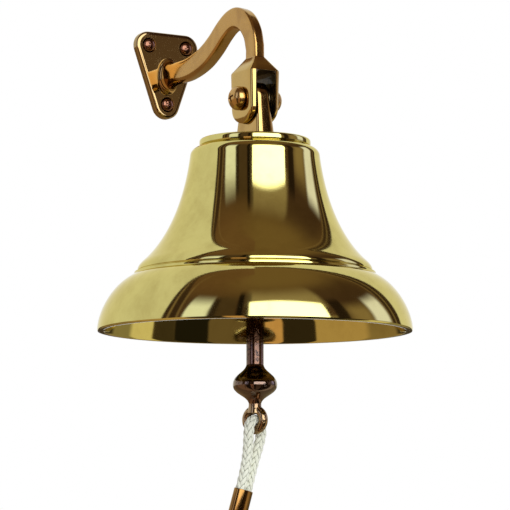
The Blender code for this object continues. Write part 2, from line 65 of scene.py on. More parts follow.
# Camera: its bearing from straight in front of the wall, its level distance from the mouth, how
# far below the mouth's level it stands, how far up it looks, and its lens and sensor in millimetres
CAMERA_BEARING = math.radians(-30)
CAMERA_REACH = 1.6425
CAMERA_DROP = math.radians(4.86)
CAMERA_PITCH = math.radians(6.554)
CAMERA_LENS = 183.5
CAMERA_SENSOR = 36
TOWARDS_CAMERA = Vector((math.sin(CAMERA_BEARING), -math.cos(CAMERA_BEARING), 0))

# Wall plate and its screws
PLATE_THICKNESS = 5 * MM
PLATE_CORNER_RADIUS = 9.6 * MM
SCREW_PLACES = {
    "wall_screw_left": (-14.2 * MM, 19.7 * MM),
    "wall_screw_right": (14.2 * MM, 19.7 * MM),
    "wall_screw_bottom": (0, -20.2 * MM),
}
SCREW_RADIUS = 2.1 * MM
SCREW_HEAD_RADIUS = 4.2 * MM
SCREW_HEAD_SINK = 2.3 * MM
SCREW_DOME = 1.9 * MM
SCREW_TURNS = {"wall_screw_left": 40, "wall_screw_right": 12, "wall_screw_bottom": 68}
COUNTERSINK_RADIUS = 4.9 * MM

# Fork and hinge. The arm's upper face falls off towards +X by FACE_TILT
FORK_TOP = PIN.z + 17 * MM
EAR_BEND = PIN.z - 6 * MM
EAR_ROUND = 9.8 * MM
FORK_WIDTH = 22.6 * MM
FORK_DEPTH = 28.6 * MM
SLOT_WIDTH = 14.3 * MM
SLOT_CORNER = 3 * MM
EAR_FACE = 11.1 * MM
BOLT_RADIUS = 4 * MM
BOLT_HEAD_RADIUS = 7.7 * MM
BOLT_HEAD_HEIGHT = 7 * MM
NUT_DEPTH = 5.3 * MM
FACE_TILT = 0.07
WASHER_RADIUS = 8 * MM

# Crown lug, and the fixings under the crown as heights above the mouth
LUG_FOOT = 124.5 * MM
LUG_WIDTH = 11 * MM
LUG_FLARE = 0.15
LUG_HUB_RADIUS = 11.3 * MM
LUG_FOOT_DEPTH = 30.4 * MM
EYE_BOLT_TOP = 141.5 * MM
EYE_BOLT_RADIUS = 4 * MM
CROWN_TOP = LUG_FOOT - GAP
CROWN_UNDERSIDE = 119 * MM
CROWN_WASHER_RADIUS = 11 * MM
CROWN_WASHER_THICKNESS = 2 * MM
CROWN_NUT_ACROSS_FLATS = 13 * MM
CROWN_NUT_HEIGHT = 6 * MM

# Clapper suspension, clapper and lanyard, as heights above the mouth
EYE_HEIGHT = 100 * MM
EYE_RING_RADIUS = 7 * MM
WIRE_RADIUS = 2.75 * MM
LINK_WIRE_RADIUS = 2.25 * MM
LINK_RING_RADIUS = 5.4 * MM
LINK_STRAIGHT = 10 * MM
LINK_PIVOT = EYE_HEIGHT - EYE_RING_RADIUS
CLAPPER_PIVOT = LINK_PIVOT - LINK_STRAIGHT - LINK_RING_RADIUS
ROD_RADIUS = 5.55 * MM
BULB_RADIUS = 14.1 * MM
BULB_HEIGHT = -33.8 * MM
LOWER_EYE_HEIGHT = -55.7 * MM
LOWER_EYE = MOUTH + UP * LOWER_EYE_HEIGHT
LOWER_EYE_RING_RADIUS = 6.4 * MM
LOWER_EYE_TURN = math.radians(25)
CORD_RADIUS = 3.15 * MM
SLEEVE_SLOPE = 0.26
SLEEVE_WIDTH = 15.2 * MM
SLEEVE_DEPTH = 10.4 * MM
SLEEVE_WALL = 0.7 * MM

# Braid: strands each way round, their spacing along the cord, and how far they stand out
BRAID_CARRIERS = 6
BRAID_PITCH = 5.0 * MM
BRAID_RELIEF = 0.9 * MM
BRAID_AROUND = 96
BRAID_STEP = 0.34 * MM

# The loop's two legs part along LEG_DIRECTION, and the lanyard leans towards LEAN_DIRECTION
LEG_DIRECTION = Vector((-math.cos(LOWER_EYE_TURN), -math.sin(LOWER_EYE_TURN), 0))
LEAN_DIRECTION = Vector((-math.cos(math.radians(30)), math.sin(math.radians(30)), 0))

# Looks shared by all the metals, and the floor
EDGE_TINT = (0.97, 0.90, 0.66)
LACQUER_ROUGHNESS = 0.06
FLOOR_RADIUS = 4.0
FLOOR_DROP = 1.1


def new_object(name, data):
    obj = bpy.data.objects.new(name, data)
    bpy.context.scene.collection.objects.link(obj)
    return obj


# -------- camera


def add_camera():
    """A long lens that looks up a little at the bell, from in front of the wall and to the left."""
    data = bpy.data.cameras.new("camera")
    data.lens = CAMERA_LENS
    data.sensor_width = CAMERA_SENSOR
    camera = new_object("camera", data)
    drop = UP * CAMERA_REACH * math.tan(CAMERA_DROP)
    camera.location = MOUTH + TOWARDS_CAMERA * CAMERA_REACH - drop
    view = -TOWARDS_CAMERA * math.cos(CAMERA_PITCH) + UP * math.sin(CAMERA_PITCH)
    camera.rotation_euler = view.to_track_quat("-Z", "Y").to_euler()
    bpy.context.scene.camera = camera


# -------- mesh building


def add_mesh(name, build):
    """Turns a bmesh into a smooth-shaded object of its own."""
    bmesh.ops.recalc_face_normals(build, faces=build.faces)
    mesh = bpy.data.meshes.new(name)
    build.to_mesh(mesh)
    build.free()
    mesh.shade_smooth()
    mesh.set_sharp_from_angle(angle=SHARP_ANGLE)
    return new_object(name, mesh)


def apply_modifiers(obj):
    """Replaces an object's mesh by what its modifiers make of it."""
    bpy.context.view_layer.update()
    graph = bpy.context.evaluated_depsgraph_get()
    mesh = bpy.data.meshes.new_from_object(obj.evaluated_get(graph))
    obj.modifiers.clear()
    obj.data = mesh
    mesh.shade_smooth()
    mesh.set_sharp_from_angle(angle=SHARP_ANGLE)


def combine(obj, other, operation):
    """A Boolean whose other object is used up."""
    modifier = obj.modifiers.new(operation, "BOOLEAN")
    modifier.operation = operation
    modifier.solver = "EXACT"
    modifier.object = other
    apply_modifiers(obj)
    bpy.data.objects.remove(other, do_unlink=True)


def round_edges(obj, width, segments):
    """Breaks the sharp edges, as polishing does."""
    modifier = obj.modifiers.new("edge", "BEVEL")
    modifier.width = width
    modifier.segments = segments
    modifier.limit_method = "ANGLE"
    modifier.angle_limit = SHARP_ANGLE
    apply_modifiers(obj)


def cubic(p0, p1, p2, p3, count, first=0):
    """Points of a cubic Bezier curve, from number first of count to its end."""
    points = []
    for i in range(first, count + 1):
        t = i / count
        u = 1 - t
        weights = (u * u * u, 3 * u * u * t, 3 * u * t * t, t * t * t)
        pairs = zip(weights, (p0, p1, p2, p3))
        points.append(sum((w * Vector(p) for w, p in pairs), Vector((0, 0))))
    return points


def arc(centre, radii, start, end, count):
    """Points on an arc of a circle or an ellipse, from one angle in degrees to another."""
    points = []
    for i in range(count + 1):
        angle = math.radians(start + (end - start) * i / count)
        x = centre[0] + radii[0] * math.cos(angle)
        points.append((x, centre[1] + radii[1] * math.sin(angle)))
    return points


def soften(outline, reach, steps=4):
    """Rounds each corner of a closed outline, from reach before it to reach after it."""
    points = [Vector(p) for p in outline]
    softened = []
    for i, corner in enumerate(points):
        back = points[i - 1] - corner
        ahead = points[(i + 1) % len(points)] - corner
        start = corner + back.normalized() * reach
        end = corner + ahead.normalized() * reach
        for step in range(steps + 1):
            t = step / steps
            softened.append(start * (1 - t) ** 2 + corner * 2 * t * (1 - t) + end * t * t)
    return softened


def smooth_through(points, per_span):
    """A Catmull-Rom curve through the given points."""
    ends = [points[0] * 2 - points[1]] + points + [points[-1] * 2 - points[-2]]
    curve = []
    for i in range(len(points) - 1):
        a, b, c, d = ends[i : i + 4]
        for step in range(per_span):
            t = step / per_span
            square = (a * 2 - b * 5 + c * 4 - d) * t**2
            cube = (b * 3 - a - c * 3 + d) * t**3
            curve.append((b * 2 + (c - a) * t + square + cube) / 2)
    curve.append(points[-1])
    return curve


def turned(name, outline, segments, closed=False, axis="Z"):
    """Spins an outline of (radius, height) points about Z, then lays the height along the axis."""
    build = bmesh.new()
    corners = [build.verts.new((r, 0, h)) for r, h in outline]
    followers = corners[1:] + corners[:1] if closed else corners[1:]
    edges = [build.edges.new(pair) for pair in zip(corners, followers)]
    bmesh.ops.spin(
        build,
        geom=corners + edges,
        cent=(0, 0, 0),
        axis=(0, 0, 1),
        angle=math.tau,
        steps=segments,
        use_merge=True,
    )
    bmesh.ops.remove_doubles(build, verts=build.verts, dist=1e-7)
    if axis != "Z":
        tip = Matrix.Rotation(math.pi / 2, 4, "Y" if axis == "X" else "X")
        bmesh.ops.transform(build, matrix=tip, verts=build.verts)
    return add_mesh(name, build)


def lofted(name, rings, closed=False):
    """Skins a row of rings that have the same number of points, and closes both ends or the row."""
    build = bmesh.new()
    loops = [[build.verts.new(point) for point in ring] for ring in rings]
    followers = loops[1:] + loops[:1] if closed else loops[1:]
    for lower, upper in zip(loops, followers):
        for i in range(len(lower)):
            j = (i + 1) % len(lower)
            build.faces.new((lower[i], lower[j], upper[j], upper[i]))
    if not closed:
        build.faces.new(loops[0])
        build.faces.new(loops[-1])
    return add_mesh(name, build)


def section(centre, across, along, width, depth, squareness, count):
    """A ring of points: an ellipse at squareness 2, and nearer a rectangle as it grows."""
    points = []
    for i in range(count):
        angle = math.tau * (i + 0.5) / count
        c, s = math.cos(angle), math.sin(angle)
        x = math.copysign(abs(c) ** (2 / squareness), c) * width / 2
        y = math.copysign(abs(s) ** (2 / squareness), s) * depth / 2
        points.append(centre + across * x + along * y)
    return points


def cylinder(name, radius, length, axis, segments=48):
    half = length / 2
    outline = [(0, half), (radius, half), (radius, -half), (0, -half)]
    return turned(name, outline, segments, axis=axis)


def washer(name, outer, inner, thickness, axis):
    """A flat washer with broken edges, about its own centre."""
    half = thickness / 2
    outline = [(inner, half), (outer, half), (outer, -half), (inner, -half)]
    return turned(name, soften(outline, 0.25 * MM), 72, closed=True, axis=axis)


def wire_ring(ring_radius, radial, axial, axis):
    """A ring of wire, as thick as twice radial in its plane and twice axial along its axis."""
    outline = arc((ring_radius, 0), (radial, axial), 0, 360, 24)[:-1]
    return turned("wire_ring", outline, 64, closed=True, axis=axis)


def cross_recess(reach, width, depth):
    """The cutter of a cross recess, centred on the origin and square to Z, narrower below."""
    half = width / 2
    quarter = [(reach, -half), (reach, half), (half, half)]
    outline = []
    for turn in range(4):
        rotation = Matrix.Rotation(turn * math.pi / 2, 2)
        outline += [rotation @ Vector(point) for point in quarter]
    rings = []
    for side, share in ((-1, 0.62), (1, 1.12)):
        rings.append([Vector((p.x * share, p.y * share, side * depth)) for p in outline])
    return lofted("recess", rings)


def put(obj, place, rotation=(0, 0, 0)):
    obj.location = place
    obj.rotation_euler = rotation
    return obj


def settle(obj, body, slot, material, *nodes):
    """Gives a finished piece its material and its body, and hides the nodes it stands for; slot is
    not used.
    """
    obj.data.materials.clear()
    obj.data.materials.append(material)
    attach(obj, body)
    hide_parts(*nodes)
    return obj


# -------- node building


class Shader:
    """A material's or the world's node tree, with one short call for each kind of node."""

    def __init__(self, tree):
        self.tree = tree
        tree.nodes.clear()

    def node(self, kind, inputs=None, **settings):
        made = self.tree.nodes.new(kind)
        for key, value in settings.items():
            setattr(made, key, value)
        for key, value in (inputs or {}).items():
            if isinstance(value, bpy.types.NodeSocket):
                self.tree.links.new(value, made.inputs[key])
            else:
                made.inputs[key].default_value = value
        return made

    def place(self):
        """Places on the object, in metres from its own origin."""
        return self.node("ShaderNodeTexCoord").outputs["Object"]

    def axes(self, vector):
        return self.node("ShaderNodeSeparateXYZ", {0: vector}).outputs

    def math(self, operation, first, second=0.0):
        return self.node("ShaderNodeMath", {0: first, 1: second}, operation=operation).outputs[0]

    def plus(self, first, second):
        return self.math("ADD", first, second)

    def minus(self, first, second):
        return self.math("SUBTRACT", first, second)

    def times(self, first, second):
        return self.math("MULTIPLY", first, second)

    def ramp(self, value, low, high, to_low=0.0, to_high=1.0):
        """Value turned smoothly from to_low at low to to_high at high."""
        inputs = {0: value, 1: low, 2: high, 3: to_low, 4: to_high}
        made = self.node("ShaderNodeMapRange", inputs, interpolation_type="SMOOTHSTEP")
        return made.outputs[0]

    def fall(self, value, low, high):
        """1 below low, 0 above high, and smooth between them."""
        return self.ramp(value, low, high, 1.0, 0.0)

    def within(self, value, low, high, soft):
        """1 from low to high and 0 outside, with edges that reach soft to each side."""
        rise = self.ramp(value, low - soft, low + soft)
        return self.times(rise, self.fall(value, high - soft, high + soft))

    def mix(self, share, first, second):
        """First where share is 0 and second where it is 1, each a colour or a socket."""
        made = self.node("ShaderNodeMix", {0: share}, data_type="RGBA")
        for socket, value in ((6, first), (7, second)):
            if isinstance(value, bpy.types.NodeSocket):
                self.tree.links.new(value, made.inputs[socket])
            else:
                made.inputs[socket].default_value = (*value, 1)
        return made.outputs[2]

    def noise(self, place, scale, detail=3.0, roughness=0.5, distortion=0.0):
        inputs = {"Vector": place, "Scale": scale, "Detail": detail}
        inputs.update({"Roughness": roughness, "Distortion": distortion})
        return self.node("ShaderNodeTexNoise", inputs).outputs["Fac"]

    def stretched(self, place, scale):
        return self.node("ShaderNodeMapping", {"Vector": place, "Scale": scale}).outputs[0]

    def bump(self, height, distance, strength=1.0, normal=None):
        inputs = {"Height": height, "Distance": distance, "Strength": strength}
        if normal is not None:
            inputs["Normal"] = normal
        return self.node("ShaderNodeBump", inputs).outputs[0]


def new_material(name):
    material = bpy.data.materials.new(name)
    material.use_nodes = True
    return material, Shader(material.node_tree)


def close_material(s, colour, roughness, normal, sockets=None):
    """Ends a material's nodes in a Principled surface, with any further sockets by name."""
    inputs = {"Base Color": colour, "Roughness": roughness, "Normal": normal, **(sockets or {})}
    surface = s.node("ShaderNodeBsdfPrincipled", inputs)
    s.node("ShaderNodeOutputMaterial", {"Surface": surface.outputs[0]})


def close_metal(s, colour, roughness, normal, lacquer=0.0):
    """Ends a material's nodes in bare metal, or in metal under a thin lacquer."""
    sockets = {"Metallic": 1.0, "Specular Tint": (*EDGE_TINT, 1)}
    if lacquer:
        sockets.update({"Coat Weight": lacquer, "Coat Roughness": LACQUER_ROUGHNESS})
    close_material(s, colour, roughness, normal, sockets)


# -------- materials


def polished_brass(name, light, dark, gloss=0.045):
    """Spun and buffed brass: fine rings from the lathe, hairline scratches, faint tarnish."""
    material, s = new_material(name)
    place = s.place()
    x, y, z = s.axes(place)
    turn = s.math("ARCTAN2", y, x)
    radius = s.math("SQRT", s.plus(s.times(x, x), s.times(y, y)))
    along = s.minus(z, radius)
    lathe = s.node("ShaderNodeCombineXYZ", {0: s.times(turn, 0.02), 1: along, 2: 0.0}).outputs[0]
    rings = s.noise(lathe, 900.0, detail=4.0, roughness=0.7)
    scratched = s.stretched(place, (60.0, 900.0, 340.0))
    scratches = s.noise(scratched, 3.0, detail=5.0, roughness=0.75, distortion=0.6)
    tarnish = s.noise(place, 22.0, detail=5.0, roughness=0.62, distortion=0.4)
    bloom = s.noise(place, 160.0, roughness=0.6)
    stain = s.ramp(s.plus(s.times(tarnish, 0.8), s.times(bloom, 0.2)), 0.42, 0.68)
    rough = s.plus(s.times(stain, 0.035), s.times(rings, 0.05))
    rough = s.plus(rough, s.ramp(scratches, 0.6, 0.78, gloss - 0.02, gloss + 0.05))
    wave = s.bump(s.noise(place, 26.0, detail=1.5, roughness=0.4), 0.35 * MM, 0.5)
    close_metal(s, s.mix(stain, light, dark), rough, s.bump(rings, 0.01 * MM, 0.6, wave))
    return material


def cast_metal(name, light, dark, gloss, grain, pits=0, lacquer=0.25, tone=None, raw_gap_shade_mask=None):
    """Hand-finished cast metal: tone in soft clouds, darker in the corners, a fine uneven skin.

    tone changes the colour and roughness by place, and the gap mask is 1 where the casting was left
    raw and is painted near-black as shade.
    """
    material, s = new_material(name)
    place = s.place()
    clouds = s.noise(place, 60.0, detail=5.0, roughness=0.6, distortion=0.5)
    pointiness = s.node("ShaderNodeNewGeometry").outputs["Pointiness"]
    stain = s.math("MAXIMUM", s.ramp(clouds, 0.42, 0.72), s.fall(pointiness, 0.44, 0.495))
    colour = s.mix(s.times(stain, 0.7), light, dark)
    filed = s.stretched(place, (900.0, 260.0, 120.0))
    streaks = s.noise(filed, 2.0, detail=4.0, roughness=0.7, distortion=0.3)
    rough = s.ramp(streaks, 0.35, 0.75, gloss - 0.03, gloss + 0.05)
    rough = s.plus(rough, s.times(stain, 0.06))
    if tone:
        colour, rough = tone(s, place, colour, rough)
    normal = s.bump(s.noise(place, 170.0, detail=2.0), 0.3 * MM, grain * 0.5)
    normal = s.bump(s.noise(place, 900.0, roughness=0.6), 0.04 * MM, grain, normal)
    if pits:
        hole = s.fall(s.noise(place, 420.0, detail=2.0), 0.3, 0.42)
        normal = s.bump(s.minus(1.0, hole), 0.2 * MM, pits, normal)
        colour = s.mix(s.times(hole, pits), colour, tuple(0.4 * v for v in dark))
    if raw_gap_shade_mask:
        raw_gap_shade = raw_gap_shade_mask(s, place)
        gap_speckle = s.noise(place, 330.0, detail=4.0, roughness=0.65)
        # Painted shade: where the gap mask is 1 the colour goes near-black, standing in for the
        # shade between the ears; the speckle only varies that dark.
        colour = s.mix(raw_gap_shade, colour, s.mix(gap_speckle, (0.012, 0.008, 0.005), (0.07, 0.045, 0.025)))
        rough = s.plus(rough, s.times(raw_gap_shade, 0.34))
        normal = s.bump(s.times(gap_speckle, raw_gap_shade), 0.6 * MM, 0.8, normal)
    close_metal(s, colour, rough, normal, lacquer)
    return material


def bracket_tone(s, place, colour, rough):
    """The plate has darkened most and the fork is yellower; the arm has more of a satin finish."""
    _, y, z = s.axes(place)
    plate = s.ramp(y, -9 * MM, -6 * MM)
    colour = s.mix(s.times(plate, 0.75), colour, (0.28, 0.20, 0.09))
    fork = s.times(s.fall(y, -105 * MM, -100 * MM), s.fall(z, -13 * MM, -9 * MM))
    colour = s.mix(s.times(fork, 0.7), colour, (0.47, 0.31, 0.085))
    arm = s.times(s.fall(y, -30 * MM, -18 * MM), s.ramp(z, -14 * MM, -4 * MM))
    rough = s.plus(rough, s.times(arm, 0.09))
    return colour, s.minus(rough, s.times(plate, 0.055))


def fork_gap_raw_and_shade(s, place):
    """1 between the fork's ears and 0 elsewhere: that gap was never polished, and its colour is
    painted near-black there as shade.
    """
    x, y, z = s.axes(place)
    side = 0.5 * SLOT_WIDTH
    back = MOUTH.y + 0.5 * FORK_DEPTH
    across = s.fall(s.math("ABSOLUTE", x), side + 0.05 * MM, side + 0.4 * MM)
    below = s.fall(z, FORK_TOP + 0.1 * MM, FORK_TOP + 0.6 * MM)
    outwards = s.fall(y, back + 5 * MM, back + 6 * MM)
    return s.times(s.times(across, below), outwards)


def clapper_tone(s, place, colour, rough):
    """Handling has worn the lower eye to a brown gold; striking has polished the bulb, and its
    widest band is also painted lighter as a highlight.
    """
    height = s.axes(place)[2]
    worn = s.fall(height, BULB_HEIGHT - 16 * MM, BULB_HEIGHT - 9 * MM)
    colour = s.mix(s.times(worn, 0.8), colour, (0.32, 0.20, 0.085))
    from_bulb = s.math("ABSOLUTE", s.minus(height, BULB_HEIGHT))
    polish_and_highlight = s.fall(from_bulb, 6 * MM, 9 * MM)
    # Partly painted highlight: the band round the bulb's widest part is smoother from striking, and
    # its colour is made lighter to stand in for a highlight.
    colour = s.mix(s.times(polish_and_highlight, 0.6), colour, (0.15, 0.10, 0.07))
    return colour, s.minus(rough, s.times(polish_and_highlight, 0.07))


def drawn_metal(name, light, dark, axis, angle):
    """Drawn tube, streaked along Z once its places are turned by the angle about the axis."""
    material, s = new_material(name)
    place = s.place()
    upright = s.node("ShaderNodeVectorRotate", {0: place, "Axis": axis, "Angle": angle})
    drawn = s.stretched(upright.outputs[0], (900.0, 900.0, 25.0))
    streaks = s.noise(drawn, 1.0, detail=5.0, roughness=0.7)
    clouds = s.noise(place, 90.0, detail=4.0, roughness=0.6)
    blotch = s.plus(s.times(streaks, 0.6), s.times(clouds, 0.4))
    colour = s.mix(s.ramp(blotch, 0.35, 0.7), light, dark)
    rough = s.ramp(streaks, 0.3, 0.75, 0.1, 0.2)
    close_metal(s, colour, rough, s.bump(streaks, 0.06 * MM, 0.5))
    return material


def cord_fibre(name):
    """Bleached braided yarn: fine fibres, with painted shade darkening the colour between the
    strands.
    """
    material, s = new_material(name)
    place = s.place()
    relief = s.node("ShaderNodeAttribute", attribute_name="relief").outputs["Fac"]
    # Painted shade: the colour runs from near-dark in the low grooves between strands to pale on
    # their crowns.
    colour = s.mix(s.ramp(relief, 0.05, 0.6), (0.13, 0.125, 0.07), (0.74, 0.73, 0.56))
    dirt = s.noise(place, 120.0, detail=4.0, roughness=0.6)
    colour = s.mix(s.ramp(dirt, 0.5, 0.75, 0.0, 0.3), colour, (0.56, 0.55, 0.39))
    fibres = s.noise(s.stretched(place, (1.0, 1.0, 0.35)), 5200.0, roughness=0.7)
    sheen = {"Sheen Weight": 0.25, "Sheen Roughness": 0.5}
    close_material(s, colour, 0.78, s.bump(fibres, 0.1 * MM, 0.6), sheen)
    return material


# -------- lanyard


def lanyard_route():
    """The cord's centre line, from one cut end up through the eye and down to the other."""
    over_ring = LOWER_EYE_RING_RADIUS / MM
    reach = 3.2 + CORD_RADIUS / MM + 0.3
    # Each leg's distance from the middle, height and lean, from the ring down
    leg = [(reach - 0.1, -over_ring - 4.5, 0.3), (5.1, -19, 1.5), (3.8, -28, 3.4), (3.45, -38, 5.7)]
    leg += [(3.4, -50, 8.66), (3.4, -57, 10.48), (3.4, -64, 12.3)]
    loop = [(u, z - over_ring, 0) for u, z in arc((0, 0), (reach, over_ring), 0, 180, 8)]
    left = [(-u, z, lean) for u, z, lean in leg]
    places = list(reversed(leg)) + loop + left
    route = [LEG_DIRECTION * u + LEAN_DIRECTION * lean + UP * z for u, z, lean in places]
    return [LOWER_EYE + point * MM for point in route]


def braid_relief(u, v):
    """Height from 0 to 1 of a two-over-two braid, where u and v count its two sets of strands."""

    def strand(across, along):
        """A strand's height: round across, highest in the middle of its float, with three yarns."""
        crown = np.sqrt(np.clip(1 - across**2, 0, 1))
        arch = 0.45 + 0.55 * np.clip(1 - along**2, 0, 1)
        return crown * arch + 0.07 * np.cos(2 * math.pi * 1.5 * across)

    strand_u = strand(2 * np.mod(u, 1) - 1, np.mod(np.floor(u) + v, 4) - 1)
    strand_v = strand(2 * np.mod(v, 1) - 1, np.mod(u + np.floor(v), 4) - 3)
    u_is_over = np.mod(np.floor(u) + np.floor(v), 4) < 2
    return np.clip(np.where(u_is_over, strand_u, strand_v), 0, 1.07)


def even_points(points, step):
    """Places about one step apart along a line, and the line's length."""
    line = np.array([list(p) for p in points])
    gone = np.concatenate([[0], np.cumsum(np.linalg.norm(np.diff(line, axis=0), axis=1))])
    count = int(gone[-1] / step) + 1
    at = np.linspace(0, gone[-1], count)
    return np.stack([np.interp(at, gone, line[:, k]) for k in range(3)], axis=1), gone[-1]


def braided_cord(material):
    """The doubled cord as one tube whose surface carries the braid's strands."""
    route = smooth_through(lanyard_route(), 12)
    line, length = even_points(route, BRAID_STEP)
    ahead = np.gradient(line, axis=0)
    ahead /= np.linalg.norm(ahead, axis=1)[:, None]
    side = np.array(LEAN_DIRECTION) - ahead[0] * np.dot(LEAN_DIRECTION, ahead[0])
    sides = []
    for direction in ahead:
        side = side - direction * np.dot(side, direction)
        side = side / np.linalg.norm(side)
        sides.append(side)
    sides = np.array(sides)
    third = np.cross(ahead, sides)
    angle = np.linspace(0, math.tau, BRAID_AROUND, endpoint=False)
    around = BRAID_CARRIERS * angle[None, :] / math.tau
    gone = np.linspace(0, length, len(line))[:, None] / BRAID_PITCH
    relief = braid_relief(around + gone + 100, around - gone + 100)
    radius = CORD_RADIUS + BRAID_RELIEF * (relief - 0.66)
    out = sides[:, None] * np.cos(angle)[:, None] + third[:, None] * np.sin(angle)[:, None]
    points = line[:, None] + out * radius[..., None]
    rows, count = relief.shape
    index = np.arange(rows * count).reshape(rows, count)
    after = np.roll(index, -1, axis=1)
    faces = np.stack([index[:-1], after[:-1], after[1:], index[1:]], axis=-1).reshape(-1, 4)
    caps = [list(index[0][::-1]), list(index[-1])]
    mesh = bpy.data.meshes.new("lanyard_braid")
    mesh.from_pydata(points.reshape(-1, 3).tolist(), [], faces.tolist() + caps)
    mesh.update()
    mesh.shade_smooth()
    attribute = mesh.attributes.new("relief", "FLOAT", "POINT")
    attribute.data.foreach_set("value", relief.ravel().astype(np.float32))
    cord = new_object("lanyard_braid", mesh)
    settle(cord, "lanyard", "white_cord", material, "lanyard_cord")
    return cord, route, length


def lanyard_sleeve(material):
    """The oval metal sleeve on the cord's two ends, closed below."""
    down = (LEAN_DIRECTION * SLEEVE_SLOPE - UP).normalized()
    across = (LEG_DIRECTION - down * LEG_DIRECTION.dot(down)).normalized()
    along = down.cross(across)
    mouth = LOWER_EYE + (LEAN_DIRECTION * 7.1 - UP * 44) * MM
    # Share of the full size and distance down: outside up from the closed end, inside down
    outer = [(0.35, 58), (0.55, 57.8), (0.72, 57.4), (0.84, 56.7), (0.92, 55.8), (0.97, 54.6)]
    outer += [(1, 53), (1, 40), (1, 25), (1, 12), (1, 0.6), (0.99, 0.25), (0.975, 0.05), (0.95, 0)]
    inner = [(1.0, 0.05), (0.985, 0.3), (0.985, 25), (0.985, 50), (0.6, 54)]
    rings = []
    for steps, wall in ((outer, 0), (inner, SLEEVE_WALL)):
        width = SLEEVE_WIDTH - 2 * wall
        depth = SLEEVE_DEPTH - 2 * wall
        for share, reach in steps:
            centre = mouth + down * reach * MM
            rings.append(section(centre, across, along, share * width, share * depth, 2, 96))
    sleeve = lofted("lanyard_end_sleeve", rings)
    return settle(sleeve, "lanyard", "sleeve_brass", material, "lanyard_sleeve"), mouth


# -------- bracket


def plate_outline(radius, y, steps=18):
    """The plate's rounded triangle: arcs about the three screws, at one depth from the wall."""
    left, right, bottom = (Vector((x, z)) for x, z in SCREW_PLACES.values())
    corners = [right, left, bottom]
    points = []
    for before, corner, after in zip([bottom, right, left], corners, [left, bottom, right]):
        start = math.atan2(before.x - corner.x, corner.y - before.y)
        end = math.atan2(corner.x - after.x, after.y - corner.y)
        if end < start:
            end += math.tau
        for i in range(steps + 1):
            angle = start + (end - start) * i / steps
            x = corner.x + radius * math.cos(angle)
            points.append(Vector((x, y, corner.y + radius * math.sin(angle))))
    return points


def arm_rings(count=64):
    """Sections from the raised root along the S-shaped arm to the neck, shoulders and ears."""
    rings = []
    # The root's rings: distance out from the wall, width and depth
    root = [(2.5, 15.8, 25.6), (6.0, 15.8, 25.6), (6.45, 15.6, 25.4), (6.75, 15.2, 25.0)]
    root += [(6.95, 14.6, 24.3), (7.2, 13.9, 23.0), (7.7, 13.1, 21.4), (8.4, 12.4, 20.0)]
    root += [(9.4, 11.6, 18.5), (10.8, 10.9, 17.2), (12.5, 10.3, 16.2), (14.5, 9.9, 15.4)]
    root += [(16.5, 9.6, 15.0)]
    for i, (out, width, depth) in enumerate(root):
        squareness = 2 + 0.6 * max(0, i - 8) / 4
        centre = Vector((0, -out * MM, -1 * MM))
        rings.append(section(centre, X_AXIS, UP, width * MM, depth * MM, squareness, count))

    # The arm's middle line: y and z
    route = [(-19, -1), (-38, -1), (-57, 2.6), (-71.5, 8.8), (-84.5, 16.8), (-94.5, 21.1)]
    route += [(-104, 21.7), (-113.5, 17.6), (-120.8, 9), (-124, -1)]
    curve = smooth_through([Vector((0, y * MM, z * MM)) for y, z in route], 8)
    for i, point in enumerate(curve):
        ahead = curve[min(i + 1, len(curve) - 1)] - curve[max(i - 1, 0)]
        along = ahead.normalized().cross(X_AXIS)
        done = i / (len(curve) - 1)
        width = 9.4 - 1.4 * done
        depth = 14.8 - 1.6 * done
        squareness = 2.6 + 3.4 * min(1, 4 * done)
        across = X_AXIS - along * FACE_TILT * min(1, 2 * done)
        rings.append(section(point, across, along, width * MM, depth * MM, squareness, count))

    # The fork's rings: height over its top, width, depth and squareness
    neck = 10.5
    wide = FORK_WIDTH / MM
    deep = FORK_DEPTH / MM
    fork = [(neck, 8, 13.2, 6), (10, 8.3, 13.5, 6.5), (9.5, 9.2, 14.4, 7), (5, 15.4, 21.1, 10)]
    fork += [(0.9, wide - 0.5, deep - 0.6, 7), (0.2, wide - 0.05, deep - 0.1, 7)]
    fork += [(-0.6, wide, deep, 7), (-12, wide - 0.6, deep - 0.2, 7)]
    for i in range(15):
        share = math.sin(0.5 * math.pi * i / 15)
        above = (EAR_BEND - share * EAR_ROUND - FORK_TOP) / MM
        width = wide - 1.2 - 3 * share**2.6
        fork.append((above, width, (deep - 0.4) * math.sqrt(1 - share * share), 7))
    for above, width, depth, squareness in fork:
        centre = Vector((0, MOUTH.y, FORK_TOP + above * MM))
        across = X_AXIS + Y_AXIS * FACE_TILT * max(0, above / neck)
        rings.append(section(centre, across, -Y_AXIS, width * MM, depth * MM, squareness, count))
    return rings


def slot_cutter():
    """The gap between the ears, open below, with rounded top corners."""
    half = SLOT_WIDTH / 2
    inner = half - SLOT_CORNER
    below = FORK_TOP - 60 * MM
    top = FORK_TOP - SLOT_CORNER
    profile = arc((inner, top), (SLOT_CORNER, SLOT_CORNER), 0, 90, 10)
    profile += arc((-inner, top), (SLOT_CORNER, SLOT_CORNER), 90, 180, 10)
    profile += [(-half, below), (half, below)]
    rings = []
    for side in (-1, 1):
        y = MOUTH.y + side * FORK_DEPTH
        rings.append([Vector((x, y, z)) for x, z in profile])
    return lofted("slot_cutter", rings)


def screw_hole_cutter(place):
    """A countersunk hole through the plate, drilled from its front."""
    hole = SCREW_RADIUS + 0.4 * MM
    deep = SCREW_HEAD_SINK + 0.4 * MM
    over = 1 * MM
    rim = COUNTERSINK_RADIUS
    outline = [(0, over), (rim + 0.35 * MM, over), (rim + 0.35 * MM, 0), (rim, -0.3 * MM)]
    outline += [(hole, -deep), (hole, -PLATE_THICKNESS - over), (0, -PLATE_THICKNESS - over)]
    cutter = turned("hole_cutter", outline, 64, axis="Y")
    return put(cutter, (place[0], -PLATE_THICKNESS, place[1]))


